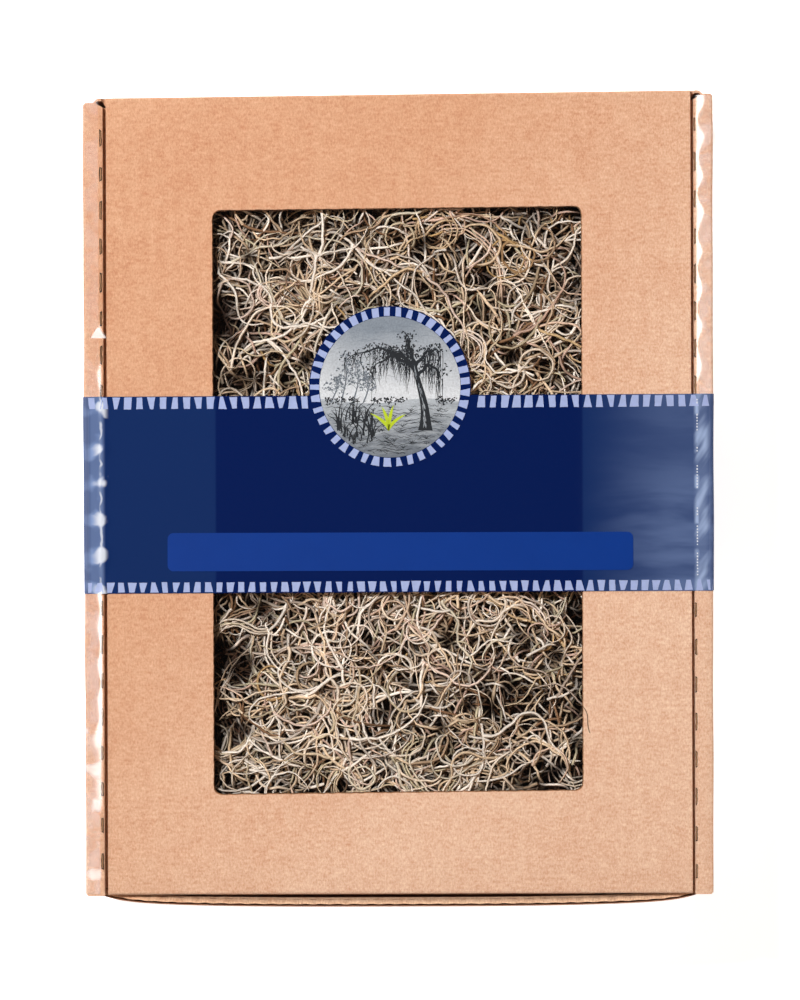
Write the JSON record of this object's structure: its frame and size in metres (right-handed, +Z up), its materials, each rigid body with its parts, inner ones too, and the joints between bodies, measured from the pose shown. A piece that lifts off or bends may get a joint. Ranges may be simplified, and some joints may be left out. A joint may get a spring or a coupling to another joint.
{
  "type": "boxed spanish moss bunch",
  "caption": "Bunch of curly dried Spanish moss packed in a flat kraft mailer with a windowed lid, held shut by a dark printed wrap-around band with a round badge.",
  "frame": {"origin": "middle of the underside, where the box lies on its back", "axes": "+X across the box to the right, +Y along it towards the lid's hinge, +Z up out of the lid"},
  "size_m": [0.2406, 0.3098, 0.0702],
  "materials": {
    "kraft_tray": "matt kraft corrugated board",
    "kraft_lid": "matt kraft corrugated board",
    "dried_moss": "dry matt plant fibre",
    "navy_print": "glossy printed film, navy with pale blue dashes",
    "blue_sticker": "satin film sticker",
    "clear_film": "clear shrink film, glossy"
  },
  "bodies": {
    "root": {"mailer_tray": "kraft_tray", "mailer_lid": "kraft_lid", "moss_bunch": "dried_moss", "printed_band": "navy_print", "blue_sticker": "blue_sticker"}
  },
  "joints": []
}
